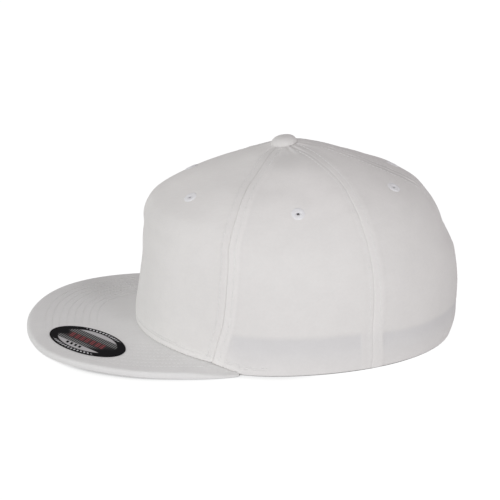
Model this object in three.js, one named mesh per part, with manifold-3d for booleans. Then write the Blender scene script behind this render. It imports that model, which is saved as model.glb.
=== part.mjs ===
// A white five-panel cap with a flat visor, standing on its rim.
// Millimetres, +Z up, the visor points along -Y and the wearer's left side is +X.
// Shapes are worked out round the crown's own middle, with the table at z = 0. At the end the cap
// is moved along Y so that the origin lies under the middle of its box.
import * as THREE from 'three';
import { mergeVertices } from 'three/addons/utils/BufferGeometryUtils.js';
import Module from 'manifold-3d';

// Driving dimensions
const WALL = 1.6;                 // panel cloth with its backing
const GAP = 0.3;                  // between pieces that touch
const VISOR_THICKNESS = 4;        // board with cloth wrapped round it
const VISOR_HALF_WIDTH = 90.4;
const VISOR_TIP_Y = -169.4;
const VISOR_WIDEST_Y = -76;
const VISOR_POWER = 2.35;         // of the superellipse that is the visor's outline
const VISOR_ARCH = 1;             // rise of the visor's middle line over its sides
const VISOR_HUMP = 2.5;           // further rise of the middle line HUMP_LENGTH in from the tip
const HUMP_LENGTH = 70;
const HUMP_LIMIT = 1.4;           // the hump grows on up to this many of those rises
const VISOR_END_SHARE = 0.385;    // where the visor's ends meet the rim, as a share of half the rim
const VISOR_END_THICKNESS = 0.9;
const VISOR_THINS_FROM = 0.8;     // share of the way to the visor's end
const VISOR_ROUND = 2;            // how far in the visor's edge is rounded
const VISOR_TURN = Math.PI * 0.2; // how far round its outline goes past its widest point
// the crown's edge leaves the visor, as shares of the way to the visor's end
const RIM_CLEARS = { from: 0.75, to: 0.9 };
const RIM_DROPS = { from: 1.01, to: 1.09 };
const BAND_THICKNESS = 1.2;       // sweatband
const BAND_GAP = 0.6;             // it hangs a little clear of the panels
const BAND_BOTTOM = 0.5;
const BAND_TOP = 30;
const BUTTON_RADIUS = 8.2;
const BUTTON_HEIGHT = 4.2;
const SHANK_RADIUS = 2.2;
const TOP_HOLE_SHARE = 0.4;       // hole at the crown's top, as a share of the button's radius
const EYELET_RADIUS = 4.2;
const EYELET_HOLE = 1;
const EYELET_PROUD = 0.5;
const STICKER = { x: 39.6, y: -129.7, halfLength: 31.8, halfWidth: 15.6, turn: 41.7, thickness: 0.4 };

// Level sections through the crown, from the rim to the top. front and back are the wall's reach
// from the middle, half is half the width, found at y = widest. The two seams are shares of the
// way round from the front centre (0) to the back centre (1). tilt is the section's rise to the back.
const SECTIONS = [
  { z: 0, front: 100, back: 99, half: 84, widest: -13, frontSeam: 0.317, backSeam: 0.682, tilt: 0 },
  { z: 14, front: 100.5, back: 103.5, half: 86, widest: -9.5, frontSeam: 0.328, backSeam: 0.672, tilt: 0 },
  { z: 34, front: 98, back: 104, half: 86, widest: -6.5, frontSeam: 0.339, backSeam: 0.666, tilt: 0 },
  { z: 56, front: 96, back: 101.5, half: 85, widest: -3.5, frontSeam: 0.343, backSeam: 0.668, tilt: 0 },
  { z: 76, front: 96, back: 93, half: 79.5, widest: -1, frontSeam: 0.35, backSeam: 0.678, tilt: 0 },
  { z: 87, front: 91.5, back: 87, half: 72.5, widest: 0, frontSeam: 0.349, backSeam: 0.68, tilt: 0 },
  { z: 96, front: 76.5, back: 78, half: 64.5, widest: -1, frontSeam: 0.331, backSeam: 0.679, tilt: 0 },
  { z: 104, front: 59.5, back: 64, half: 54, widest: -2.5, frontSeam: 0.307, backSeam: 0.688, tilt: 0 },
  { z: 111, front: 44, back: 47.5, half: 39.5, widest: -4, frontSeam: 0.289, backSeam: 0.706, tilt: 0.01 },
  { z: 117, front: 33, back: 30.5, half: 26, widest: -5, frontSeam: 0.288, backSeam: 0.714, tilt: 0.04 },
  { z: 121, front: 26, back: 18, half: 16.5, widest: -6, frontSeam: 0.299, backSeam: 0.707, tilt: 0.08 },
  { z: 124.3, front: 14.5, back: 1.5, half: 8, widest: -6.5, frontSeam: 0.308, backSeam: 0.698, tilt: 0.12 },
  { z: 125.1, front: 6.5, back: -6.5, half: 0, widest: -6.5, frontSeam: 0.308, backSeam: 0.698, tilt: 0.12 },
];
const TOP = SECTIONS[SECTIONS.length - 1];
const BUTTON_ROW = SECTIONS[SECTIONS.length - 2];
// powers of the sections' superellipses, at the rim and from POWER_HEIGHT up
const FRONT_POWER = { rim: 1.9, top: 1.98 };
const BACK_POWER = { rim: 1.96, top: 2 };
const POWER_HEIGHT = 90;
// the one dent in the outline, pushed in at the back centre
const DENT = { z: 67, depth: 1.8, tall: 7, wide: 18 };

// Eyelets: height on the crown and share of the way round from the front centre
const EYELETS = [
  { name: 'front', panel: 'front_panel', z: 98, share: 0.135 },
  { name: 'side', panel: 'side_panel', z: 99, share: 0.504 },
  { name: 'back', panel: 'back_panel', z: 102.4, share: 0.886 },
];

// Grid sizes
const ROWS = 22;
const FRONT_COLUMNS = 18;
const SIDE_COLUMNS = 12;
const BACK_COLUMNS = 10;
const VISOR_COLUMNS = 44;
const BAND_COLUMNS = 56;
const BAND_ROWS = 3;
const CURVE_STEPS = 96;
const EYELET_SIDES = 12;
const BUTTON_SIDES = 20;
const BUTTON_RINGS = 6;
const STICKER_SIDES = 28;

const CLOTH = 0xdad9d7;
const BAND_CLOTH = 0xd2d1cf;
const THREAD = 0xe6e5e3;
const STICKER_FACE = 0x1b1c1e;

const { lerp, smoothstep, clamp } = THREE.MathUtils;

// A smooth curve through points (xs, ys) that never swings past them
function smoothThrough(xs, ys) {
  const last = xs.length - 1;
  const slopes = xs.slice(1).map((x, i) => (ys[i + 1] - ys[i]) / (x - xs[i]));
  const tangents = xs.map((x, i) => {
    if (i === 0) return slopes[0];
    if (i === last) return slopes[last - 1];
    const before = slopes[i - 1];
    const after = slopes[i];
    return before * after <= 0 ? 0 : (2 * before * after) / (before + after);
  });
  return (x) => {
    let i = 0;
    while (i < last - 1 && x > xs[i + 1]) i += 1;
    const h = xs[i + 1] - xs[i];
    const t = clamp((x - xs[i]) / h, 0, 1);
    const rise = t * t * (3 - 2 * t);
    return lerp(ys[i], ys[i + 1], rise)
      + h * t * (1 - t) * ((1 - t) * tangents[i] - t * tangents[i + 1]);
  };
}

// The crown is measured upwards by its run: the length along its mean outline from the rim
const runs = [0];
SECTIONS.slice(1).forEach((row, i) => {
  const below = SECTIONS[i];
  const inwards = (row.front + row.back - below.front - below.back) / 2;
  runs.push(runs[i] + Math.hypot(inwards, row.z - below.z));
});
const FULL_RUN = runs[runs.length - 1];
const columnCurves = Object.fromEntries(
  Object.keys(TOP).map((key) => [key, smoothThrough(runs, SECTIONS.map((row) => row[key]))]),
);

function sectionAt(run) {
  return Object.fromEntries(Object.entries(columnCurves).map(([key, curve]) => [key, curve(run)]));
}

function runAtHeight(z) {
  let low = 0;
  let high = FULL_RUN;
  while (high - low > 1e-6) {
    const middle = (low + high) / 2;
    if (columnCurves.z(middle) < z) low = middle;
    else high = middle;
  }
  return low;
}

// Points of a curve with the length of the curve up to each, so that a share of it can be found
function measured(points) {
  const lengths = [0];
  points.slice(1).forEach((point, i) => lengths.push(lengths[i] + point.distanceTo(points[i])));
  return { points, lengths, length: lengths[lengths.length - 1] };
}

function pointAtShare(curve, share) {
  const target = clamp(share, 0, 1) * curve.length;
  let i = 0;
  while (i < curve.points.length - 2 && curve.lengths[i + 1] < target) i += 1;
  const t = (target - curve.lengths[i]) / (curve.lengths[i + 1] - curve.lengths[i]);
  return curve.points[i].clone().lerp(curve.points[i + 1], t);
}

// Half a section's outline on the +X side, from the front centre to the back centre
const outlines = new Map();
function halfOutline(run) {
  if (outlines.has(run)) return outlines.get(run);
  const row = sectionAt(run);
  const up = Math.min(1, row.z / POWER_HEIGHT);
  const points = [];
  for (let i = 0; i <= CURVE_STEPS; i += 1) {
    const angle = Math.PI * (i / CURVE_STEPS - 0.5);
    const ends = angle < 0 ? FRONT_POWER : BACK_POWER;
    const reach = angle < 0 ? row.widest + row.front : row.back - row.widest;
    const power = 2 / lerp(ends.rim, ends.top, up);
    const x = row.half * Math.abs(Math.cos(angle)) ** power;
    const y = row.widest + reach * Math.sign(angle) * Math.abs(Math.sin(angle)) ** power;
    points.push(new THREE.Vector2(x, y));
  }
  const outline = { ...measured(points), ...row };
  outlines.set(run, outline);
  return outline;
}

// A point of the crown's outer face. share is below 0 on the wearer's right side.
function crownPoint(share, run) {
  const outline = halfOutline(run);
  const flat = pointAtShare(outline, Math.abs(share));
  const across = Math.exp(-((flat.x / DENT.wide) ** 2));
  const dent = flat.y > 0 ? DENT.depth * across * Math.exp(-(((outline.z - DENT.z) / DENT.tall) ** 2)) : 0;
  const z = outline.z + outline.tilt * (flat.y - TOP.widest);
  return new THREE.Vector3(Math.sign(share) * flat.x, flat.y - dent, z);
}

function crownNormal(share, run) {
  const step = 0.004;
  const rise = 0.5;
  const side = share === 0 ? step : share;
  const along = crownPoint(side + step, run).sub(crownPoint(side - step, run));
  const up = crownPoint(side, Math.min(run + rise, FULL_RUN - rise))
    .sub(crownPoint(side, Math.max(run - rise, 0)));
  const normal = along.cross(up).normalize();
  if (share === 0) normal.x = 0;
  return normal.normalize();
}

// A point the given depth inside the crown's outer face
function crownInside(share, run, depth) {
  return crownPoint(share, run).addScaledVector(crownNormal(share, run), -depth);
}

// Visor heights. endward is 0 at the front centre and 1 at the visor's ends.
function visorLift(x, y) {
  const across = Math.max(0, 1 - (x / (VISOR_HALF_WIDTH - VISOR_ROUND)) ** 2);
  const inwards = clamp((y - VISOR_TIP_Y) / HUMP_LENGTH, 0, HUMP_LIMIT);
  return across * (VISOR_ARCH + VISOR_HUMP * inwards);
}

function visorThickness(endward) {
  return lerp(VISOR_THICKNESS, VISOR_END_THICKNESS, smoothstep(endward, VISOR_THINS_FROM, 1));
}

// Height of the crown's lower edge: over the visor at the front, on the table behind it
function rimHeight(share) {
  const endward = Math.abs(share) / VISOR_END_SHARE;
  const wall = crownPoint(share, runAtHeight(VISOR_THICKNESS));
  const clear = GAP * (1 + smoothstep(endward, RIM_CLEARS.from, RIM_CLEARS.to));
  const overVisor = visorLift(wall.x, wall.y) + visorThickness(Math.min(1, endward)) + clear;
  return overVisor * (1 - smoothstep(endward, RIM_DROPS.from, RIM_DROPS.to));
}

// A closed solid between an outer and an inner grid of points, both as rows of columns
function slab(outer, inner) {
  const rows = outer.length;
  const columns = outer[0].length;
  const positions = [...outer.flat(), ...inner.flat()].flatMap((p) => [p.x, p.y, p.z]);
  const out = (r, c) => r * columns + c;
  const back = (r, c) => (rows + r) * columns + c;
  const index = [];
  const quad = (a, b, c, d) => index.push(a, b, c, a, c, d);
  for (let r = 0; r < rows - 1; r += 1) {
    for (let c = 0; c < columns - 1; c += 1) {
      quad(out(r, c), out(r, c + 1), out(r + 1, c + 1), out(r + 1, c));
      quad(back(r, c), back(r + 1, c), back(r + 1, c + 1), back(r, c + 1));
    }
    quad(back(r, 0), out(r, 0), out(r + 1, 0), back(r + 1, 0));
    quad(out(r, columns - 1), back(r, columns - 1), back(r + 1, columns - 1), out(r + 1, columns - 1));
  }
  for (let c = 0; c < columns - 1; c += 1) {
    quad(back(0, c), back(0, c + 1), out(0, c + 1), out(0, c));
    quad(out(rows - 1, c), out(rows - 1, c + 1), back(rows - 1, c + 1), back(rows - 1, c));
  }
  const geometry = new THREE.BufferGeometry();
  geometry.setAttribute('position', new THREE.Float32BufferAttribute(positions, 3));
  geometry.setIndex(index);
  return geometry;
}

const steps = (count) => Array.from({ length: count + 1 }, (_, i) => i / count);

// One panel, between two seams. from and to give a seam's share at a run; side is 1 or -1.
const HOLE_RUN = lerp(runs[runs.length - 1], runs[runs.length - 2], TOP_HOLE_SHARE);
function panelGrids(from, to, columns) {
  const edges = (run) => {
    const half = GAP / 2 / halfOutline(run).length;
    return [from(run) + half, to(run) - half];
  };
  const at = (u, v) => {
    const [lowShare, highShare] = edges(0);
    const bottom = runAtHeight(rimHeight(lerp(lowShare, highShare, u)));
    const run = lerp(bottom, HOLE_RUN, v);
    const [low, high] = edges(run);
    return { share: lerp(low, high, u), run };
  };
  const outer = steps(ROWS).map((v) => steps(columns).map((u) => {
    const { share, run } = at(u, v);
    return crownPoint(share, run);
  }));
  const inner = steps(ROWS).map((v, r) => steps(columns).map((u, c) => {
    const { share, run } = at(u, v);
    const point = crownInside(share, run, WALL);
    if (r === 0) point.z = outer[0][c].z;
    return point;
  }));
  return [outer, inner];
}

const seam = (key, side) => (run) => side * columnCurves[key](run);
const middle = (side) => () => side;

// Joining and cutting
const wasm = await Module();
wasm.setup();

function toSolid(geometry) {
  const bare = geometry.clone();
  bare.deleteAttribute('normal');
  bare.deleteAttribute('uv');
  const merged = mergeVertices(bare, 1e-4);
  return new wasm.Manifold(new wasm.Mesh({
    numProp: 3,
    vertProperties: new Float32Array(merged.attributes.position.array),
    triVerts: new Uint32Array(merged.index.array),
  }));
}

function toGeometry(solid) {
  const mesh = solid.getMesh();
  const geometry = new THREE.BufferGeometry();
  geometry.setAttribute('position', new THREE.BufferAttribute(mesh.vertProperties, 3));
  geometry.setIndex(new THREE.BufferAttribute(mesh.triVerts, 1));
  return geometry;
}

function addMesh(group, name, geometry, color, roughness = 0.9, metalness = 0) {
  geometry.computeVertexNormals();
  const mesh = new THREE.Mesh(geometry, new THREE.MeshStandardMaterial({ color, roughness, metalness }));
  mesh.name = name;
  group.add(mesh);
  return mesh;
}

// An object that sits on the crown: local +Y points out of the wall
function placeOnCrown(object, share, run) {
  object.position.copy(crownPoint(share, run));
  object.quaternion.setFromUnitVectors(new THREE.Vector3(0, 1, 0), crownNormal(share, run));
}

function eyeletRing() {
  const foot = -WALL - EYELET_PROUD;
  const soft = 0.4;
  return new THREE.LatheGeometry([
    new THREE.Vector2(EYELET_HOLE, foot + soft),
    new THREE.Vector2(EYELET_HOLE + soft, foot),
    new THREE.Vector2(EYELET_RADIUS - soft, foot),
    new THREE.Vector2(EYELET_RADIUS, foot + soft),
    new THREE.Vector2(EYELET_RADIUS, EYELET_PROUD - soft),
    new THREE.Vector2(EYELET_RADIUS - soft, EYELET_PROUD),
    new THREE.Vector2(EYELET_HOLE + soft, EYELET_PROUD),
    new THREE.Vector2(EYELET_HOLE, EYELET_PROUD - soft),
    new THREE.Vector2(EYELET_HOLE, foot + soft),
  ], EYELET_SIDES);
}

function eyeletHole(geometry, share, run) {
  const radius = EYELET_RADIUS + GAP;
  const length = 8 * WALL;
  const cutter = new THREE.Object3D();
  placeOnCrown(cutter, share, run);
  cutter.updateMatrix();
  const cylinder = new THREE.CylinderGeometry(radius, radius, length, EYELET_SIDES);
  cylinder.applyMatrix4(cutter.matrix);
  return toGeometry(toSolid(geometry).subtract(toSolid(cylinder)));
}

// The button's dome with its shank, round the local Y axis with the crown's top at y = 0
function buttonBody() {
  const coneDrop = (TOP.z - BUTTON_ROW.z) * (BUTTON_RADIUS / BUTTON_ROW.half);
  const drop = (r) => GAP - coneDrop * (r / BUTTON_RADIUS);
  const dome = steps(BUTTON_RINGS).map((t) => {
    const angle = (t * Math.PI) / 2;
    const height = lerp(drop(BUTTON_RADIUS) + 1, BUTTON_HEIGHT, Math.sin(angle));
    return new THREE.Vector2(BUTTON_RADIUS * Math.cos(angle) ** 0.85, height);
  });
  dome[dome.length - 1].x = 0;
  return new THREE.LatheGeometry([
    new THREE.Vector2(0, -WALL - 1),
    new THREE.Vector2(SHANK_RADIUS, -WALL - 1),
    new THREE.Vector2(SHANK_RADIUS, drop(SHANK_RADIUS)),
    new THREE.Vector2(BUTTON_RADIUS - 0.3, drop(BUTTON_RADIUS)),
    ...dome,
  ], BUTTON_SIDES);
}

// The visor: rows run from its edge in to the crown, columns from the right end to the left end
function visorBody() {
  const power = 2 / VISOR_POWER;
  const depth = VISOR_WIDEST_Y - VISOR_TIP_Y;
  const edge = measured(steps(CURVE_STEPS).map((t) => {
    const angle = lerp(-Math.PI / 2, VISOR_TURN, t);
    const x = VISOR_HALF_WIDTH * Math.cos(angle) ** power;
    const y = VISOR_WIDEST_Y + depth * Math.sign(angle) * Math.abs(Math.sin(angle)) ** power;
    return new THREE.Vector2(x, y);
  }));
  const top = [];
  const bottom = [];
  const rows = [
    { round: 0, inward: 0, skin: 0.45 },
    { round: 0.3, inward: 0, skin: 0.14 },
    { round: 1, inward: 0, skin: 0 },
    ...[0.25, 0.5, 0.75, 1].map((inward) => ({ round: 1, inward, skin: 0 })),
  ];
  const end = crownInside(VISOR_END_SHARE, runAtHeight(VISOR_THICKNESS), 0);
  const endShare = shareWhereY(edge, end.y);
  for (const { round, inward, skin } of rows) {
    const topRow = [];
    const bottomRow = [];
    for (const t of steps(VISOR_COLUMNS)) {
      const a = 2 * t - 1;
      const endward = Math.abs(a);
      const flat = pointAtShare(edge, endward * endShare);
      const rim = new THREE.Vector3(Math.sign(a) * flat.x, flat.y, 0);
      const root = crownInside(a * VISOR_END_SHARE, runAtHeight(VISOR_THICKNESS), WALL).setZ(0);
      const width = root.distanceTo(rim);
      const roundWidth = Math.min(VISOR_ROUND, 0.4 * width);
      const fromEdge = round * roundWidth + inward * (width - roundWidth);
      const point = rim.clone().lerp(root, fromEdge / width);
      const lift = visorLift(point.x, point.y);
      const thickness = visorThickness(endward);
      topRow.push(point.clone().setZ(lift + thickness * (1 - skin)));
      bottomRow.push(point.clone().setZ(lift + thickness * skin));
    }
    top.push(topRow);
    bottom.push(bottomRow);
  }
  return slab(top, bottom);
}

function shareWhereY(curve, y) {
  const i = curve.points.findIndex((point) => point.y >= y);
  const [a, b] = [curve.points[i - 1], curve.points[i]];
  const t = (y - a.y) / (b.y - a.y);
  return lerp(curve.lengths[i - 1], curve.lengths[i], t) / curve.length;
}

function sweatbandBody() {
  const half = GAP / 2 / halfOutline(0).length;
  const grid = (depth) => steps(BAND_ROWS).map((v) => steps(BAND_COLUMNS).map((u) => {
    const share = lerp(-1 + half, 1 - half, u);
    const z = lerp(BAND_BOTTOM, BAND_TOP, v);
    return crownInside(share, runAtHeight(z), depth).setZ(z);
  }));
  return slab(grid(WALL + BAND_GAP), grid(WALL + BAND_GAP + BAND_THICKNESS));
}

// The oval sticker lies on the visor and follows its arch
function stickerBody() {
  const top = STICKER.thickness;
  const disc = new THREE.LatheGeometry([
    new THREE.Vector2(0, 0),
    new THREE.Vector2(0.5, 0),
    new THREE.Vector2(1, 0),
    new THREE.Vector2(1, top),
    new THREE.Vector2(0.5, top),
    new THREE.Vector2(0, top),
  ], STICKER_SIDES);
  disc.rotateX(Math.PI / 2);
  disc.scale(STICKER.halfLength, STICKER.halfWidth, 1);
  disc.rotateZ(THREE.MathUtils.degToRad(STICKER.turn));
  disc.translate(STICKER.x, STICKER.y, 0);
  const place = disc.attributes.position;
  for (let i = 0; i < place.count; i += 1) {
    const lift = visorLift(place.getX(i), place.getY(i)) + VISOR_THICKNESS + GAP;
    place.setZ(i, place.getZ(i) + lift);
  }
  return disc;
}

const cap = new THREE.Group();

const frontLeft = seam('frontSeam', 1);
const frontRight = seam('frontSeam', -1);
const backLeft = seam('backSeam', 1);
const backRight = seam('backSeam', -1);
const panels = [
  { name: 'front_panel', from: frontRight, to: frontLeft, columns: FRONT_COLUMNS },
  { name: 'side_panel_left', from: frontLeft, to: backLeft, columns: SIDE_COLUMNS },
  { name: 'side_panel_right', from: backRight, to: frontRight, columns: SIDE_COLUMNS },
  { name: 'back_panel_left', from: backLeft, to: middle(1), columns: BACK_COLUMNS },
  { name: 'back_panel_right', from: middle(-1), to: backRight, columns: BACK_COLUMNS },
];
const SIDES = [{ word: 'left', sign: 1 }, { word: 'right', sign: -1 }];

for (const { name, from, to, columns } of panels) {
  let geometry = slab(...panelGrids(from, to, columns));
  for (const eyelet of EYELETS) {
    for (const { word, sign } of SIDES) {
      const home = eyelet.panel === 'front_panel' ? eyelet.panel : `${eyelet.panel}_${word}`;
      if (home === name) geometry = eyeletHole(geometry, sign * eyelet.share, runAtHeight(eyelet.z));
    }
  }
  addMesh(cap, name, geometry, CLOTH);
}

for (const eyelet of EYELETS) {
  for (const { word, sign } of SIDES) {
    const ring = addMesh(cap, `eyelet_${eyelet.name}_${word}`, eyeletRing(), THREAD, 0.7);
    placeOnCrown(ring, sign * eyelet.share, runAtHeight(eyelet.z));
  }
}

const button = addMesh(cap, 'top_button', buttonBody(), CLOTH);
button.position.set(0, TOP.widest, TOP.z);
button.rotation.x = Math.PI / 2 + Math.atan(TOP.tilt);

addMesh(cap, 'visor', visorBody(), CLOTH);
addMesh(cap, 'sweatband', sweatbandBody(), BAND_CLOTH);
addMesh(cap, 'visor_sticker', stickerBody(), STICKER_FACE, 0.35);

const box = new THREE.Box3().setFromObject(cap);
cap.position.y = -(box.min.y + box.max.y) / 2;

const group = new THREE.Group();
group.add(cap);
export default group;
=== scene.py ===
# Looks for the white flat-brim five-panel cap: sewn panels, stitched visor, eyelets, button, sweatband and sticker.
# Sizes are in millimetres in the crown's own frame (front is -Y, the wearer's left is +X, the table is z = 0),
# and make() turns them into metres in the row frame.
import math
import bpy
import numpy as np
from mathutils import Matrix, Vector


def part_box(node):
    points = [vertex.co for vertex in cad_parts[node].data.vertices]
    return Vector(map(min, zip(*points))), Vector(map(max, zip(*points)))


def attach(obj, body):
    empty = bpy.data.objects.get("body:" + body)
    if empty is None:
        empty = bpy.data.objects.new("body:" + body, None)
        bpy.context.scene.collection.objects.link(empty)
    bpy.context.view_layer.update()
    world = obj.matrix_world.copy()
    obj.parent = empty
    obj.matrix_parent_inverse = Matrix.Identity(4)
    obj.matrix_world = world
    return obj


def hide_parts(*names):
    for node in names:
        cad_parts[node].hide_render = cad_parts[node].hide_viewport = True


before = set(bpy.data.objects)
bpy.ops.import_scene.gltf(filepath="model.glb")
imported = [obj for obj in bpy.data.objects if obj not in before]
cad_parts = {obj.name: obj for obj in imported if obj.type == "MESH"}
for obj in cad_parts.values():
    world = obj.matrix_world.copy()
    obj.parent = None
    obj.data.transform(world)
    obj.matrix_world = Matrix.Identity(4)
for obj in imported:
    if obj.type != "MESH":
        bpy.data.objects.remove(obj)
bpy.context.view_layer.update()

VISOR_TIP_Y = -169.4
MM = 0.001
SHIFT_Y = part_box("visor")[0].y / MM - VISOR_TIP_Y   # from the crown's frame to the row frame

# ---- sizes, the same as the CAD part's
WALL = 1.6
VISOR_THICKNESS = 4.0
VISOR_HALF_WIDTH = 90.4
VISOR_WIDEST_Y = -76.0
VISOR_POWER = 2.35
VISOR_ARCH = 1.0
VISOR_HUMP = 2.5
HUMP_LENGTH = 70.0
HUMP_LIMIT = 1.4
# In the scene alone the visor's edge is drawn in, or let out where negative: (mm, share of the edge, width in shares).
# On the wearer's left it also curls up by VISOR_CURL.
TRIMS = [(-0.95, -0.03, 0.11), (0.5, 0.19, 0.08), (3.0, 0.51, 0.21), (1.1, 0.82, 0.13)]
VISOR_CURL = 0.8
VISOR_END_SHARE = 0.385
VISOR_END_THICKNESS = 0.9
VISOR_THINS_FROM = 0.8
VISOR_ROUND = 2.0
VISOR_TURN = math.pi * 0.2
BAND_THICKNESS = 1.2
BAND_GAP = 0.5
BAND_BOTTOM = 0.5
BAND_TOP = 30.0
BUTTON_RADIUS = 8.2
BUTTON_HEIGHT = 4.2
TOP_HOLE_SHARE = 0.4
EYELET_RADIUS = 4.2

# z, front, back, half, widest, front seam, back seam, tilt
SECTIONS = np.array([
    (0, 100, 99, 84, -13, 0.317, 0.682, 0),
    (14, 100.5, 103.5, 86, -9.5, 0.328, 0.672, 0),
    (34, 98, 104, 86, -6.5, 0.339, 0.666, 0),
    (56, 96, 101.5, 85, -3.5, 0.343, 0.668, 0),
    (76, 96, 93, 79.5, -1, 0.35, 0.678, 0),
    (87, 91.5, 87, 72.5, 0, 0.349, 0.68, 0),
    (96, 76.5, 78, 64.5, -1, 0.331, 0.679, 0),
    (104, 59.5, 64, 54, -2.5, 0.307, 0.688, 0),
    (111, 44, 47.5, 39.5, -4, 0.289, 0.706, 0.01),
    (117, 33, 30.5, 26, -5, 0.288, 0.714, 0.04),
    (121, 26, 18, 16.5, -6, 0.299, 0.707, 0.08),
    (124.3, 14.5, 1.5, 8, -6.5, 0.308, 0.698, 0.12),
    (125.1, 6.5, -6.5, 0, -6.5, 0.308, 0.698, 0.12),
])
Z, FRONT, BACK, HALF, WIDEST, FRONT_SEAM, BACK_SEAM, TILT = range(8)
TOP_Y = SECTIONS[-1, WIDEST]
TOP_Z = SECTIONS[-1, Z]
TOP_TILT = SECTIONS[-1, TILT]
FRONT_POWER = (1.9, 1.98)     # at the rim and from POWER_HEIGHT up
BACK_POWER = (1.96, 2.0)
POWER_HEIGHT = 90.0
DENT_Z, DENT_DEPTH, DENT_TALL, DENT_WIDE = 67.0, 1.8, 7.0, 18.0
EYELETS = [("front", 98.0, 0.135), ("side", 99.0, 0.504), ("back", 102.4, 0.886)]
TABLE_GAP = 0.02          # the cloth's least height over the table
STICKER = {"x": 39.9, "y": -129.95, "half_length": 31.9, "half_width": 16.75, "turn": math.radians(41.4)}


def step(x, low, high):
    t = np.clip((x - low) / (high - low), 0, 1)
    return t * t * (3 - 2 * t)


def bump_at(x, centre, width):
    return np.exp(-(((x - centre) / width) ** 2))


def unit(vectors):
    return vectors / np.linalg.norm(vectors, axis=-1, keepdims=True)


def stack(*parts):
    return np.stack(parts, -1)


def smooth_through(xs, ys, x):
    """The CAD's smooth curve through the points (xs, ys), at x."""
    slopes = np.diff(ys) / np.diff(xs)
    tangents = np.empty(len(xs))
    tangents[0], tangents[-1] = slopes[0], slopes[-1]
    before, after = slopes[:-1], slopes[1:]
    total = np.where(before + after == 0, 1, before + after)
    tangents[1:-1] = np.where(before * after <= 0, 0, 2 * before * after / total)
    i = np.clip(np.searchsorted(xs, x) - 1, 0, len(xs) - 2)
    h = xs[i + 1] - xs[i]
    t = np.clip((x - xs[i]) / h, 0, 1)
    rise = t * t * (3 - 2 * t)
    return ys[i] + (ys[i + 1] - ys[i]) * rise + h * t * (1 - t) * ((1 - t) * tangents[i] - t * tangents[i + 1])


# ---- the crown's surface as fine tables
RUN_STEPS, SHARE_STEPS, ANGLES = 760, 900, 1201
inwards = np.diff(SECTIONS[:, FRONT] + SECTIONS[:, BACK]) / 2
SECTION_RUNS = np.concatenate([[0], np.cumsum(np.hypot(inwards, np.diff(SECTIONS[:, Z])))])
FULL_RUN = SECTION_RUNS[-1]
RUNS = np.linspace(0, FULL_RUN, RUN_STEPS)
ROWS_AT = stack(*(smooth_through(SECTION_RUNS, column, RUNS) for column in SECTIONS.T))
SHARES = np.linspace(0, 1, SHARE_STEPS)


def outline_tables():
    angle = np.linspace(-math.pi / 2, math.pi / 2, ANGLES)
    c, s = np.abs(np.cos(angle)), np.abs(np.sin(angle))
    place = np.empty((RUN_STEPS, SHARE_STEPS, 3))
    lengths = np.empty(RUN_STEPS)
    for i, row in enumerate(ROWS_AT):
        up = min(1, row[Z] / POWER_HEIGHT)
        front, back = (2 / (low + (high - low) * up) for low, high in (FRONT_POWER, BACK_POWER))
        power = np.where(angle < 0, front, back)
        reach = np.where(angle < 0, row[WIDEST] + row[FRONT], row[BACK] - row[WIDEST])
        x = row[HALF] * c ** power
        y = row[WIDEST] + reach * np.sign(angle) * s ** power
        along = np.concatenate([[0], np.cumsum(np.hypot(np.diff(x), np.diff(y)))])
        lengths[i] = along[-1]
        x = np.interp(SHARES * along[-1], along, x)
        y = np.interp(SHARES * along[-1], along, y)
        z = row[Z] + row[TILT] * (y - TOP_Y)
        dent = DENT_DEPTH * bump_at(x, 0, DENT_WIDE) * bump_at(row[Z], DENT_Z, DENT_TALL)
        place[i] = stack(x, y - np.where(y > 0, dent, 0), z)
    return place, lengths


PLACE, LENGTHS = outline_tables()


def normal_table():
    normal = np.cross(np.gradient(PLACE, axis=1), np.gradient(PLACE, axis=0))
    normal[:, 0, 0] = normal[:, -1, 0] = 0
    size = np.linalg.norm(normal, axis=2, keepdims=True)
    return normal / np.maximum(size, 1e-12)


NORMAL = normal_table()


def look_up(table, share, run):
    """A value of a (run, share) table between its points. On the -X side the table's x is mirrored."""
    share, run = np.broadcast_arrays(np.asarray(share, float), np.asarray(run, float))
    a = np.clip(run / FULL_RUN, 0, 1) * (RUN_STEPS - 1)
    b = np.clip(np.abs(share), 0, 1) * (SHARE_STEPS - 1)
    i = np.minimum(a.astype(int), RUN_STEPS - 2)
    j = np.minimum(b.astype(int), SHARE_STEPS - 2)
    a, b = (a - i)[..., None], (b - j)[..., None]
    low = table[i, j] * (1 - b) + table[i, j + 1] * b
    high = table[i + 1, j] * (1 - b) + table[i + 1, j + 1] * b
    found = low * (1 - a) + high * a
    found[..., 0] *= np.where(share < 0, -1, 1)
    return found


def run_at(z):
    return np.interp(z, ROWS_AT[:, Z], RUNS)


def column_at(k, run):
    return np.interp(run, RUNS, ROWS_AT[:, k])


def half_length(run):
    return np.interp(run, RUNS, LENGTHS)


# where the worn cloth stands out of the CAD's loft, or into it: (mm, share round the crown, width in shares, z, height)
PUFFS = [(1.1, -0.13, 0.17, 95.0, 8.0), (1.3, -0.84, 0.17, 98.5, 8.0), (-1.1, 0.0, 0.2, 73.0, 7.0),
         (1.1, 0.91, 0.16, 2.0, 8.0)]


def puff(share, run):
    z, total = column_at(Z, run), 0
    for out, at, wide, height, tall in PUFFS:
        away = np.abs(share - at)
        total = total + out * bump_at(z, height, tall) * bump_at(np.minimum(away, 2 - away), 0, wide)
    return total


def crown_normal(share, run):
    return unit(look_up(NORMAL, share, run))


def crown(share, run, depth=0.0):
    """Points of the crown the given depth inside its outer face."""
    depth = (np.asarray(depth, float) - puff(share, run))[..., None]
    return look_up(PLACE, share, run) - depth * crown_normal(share, run)


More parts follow.
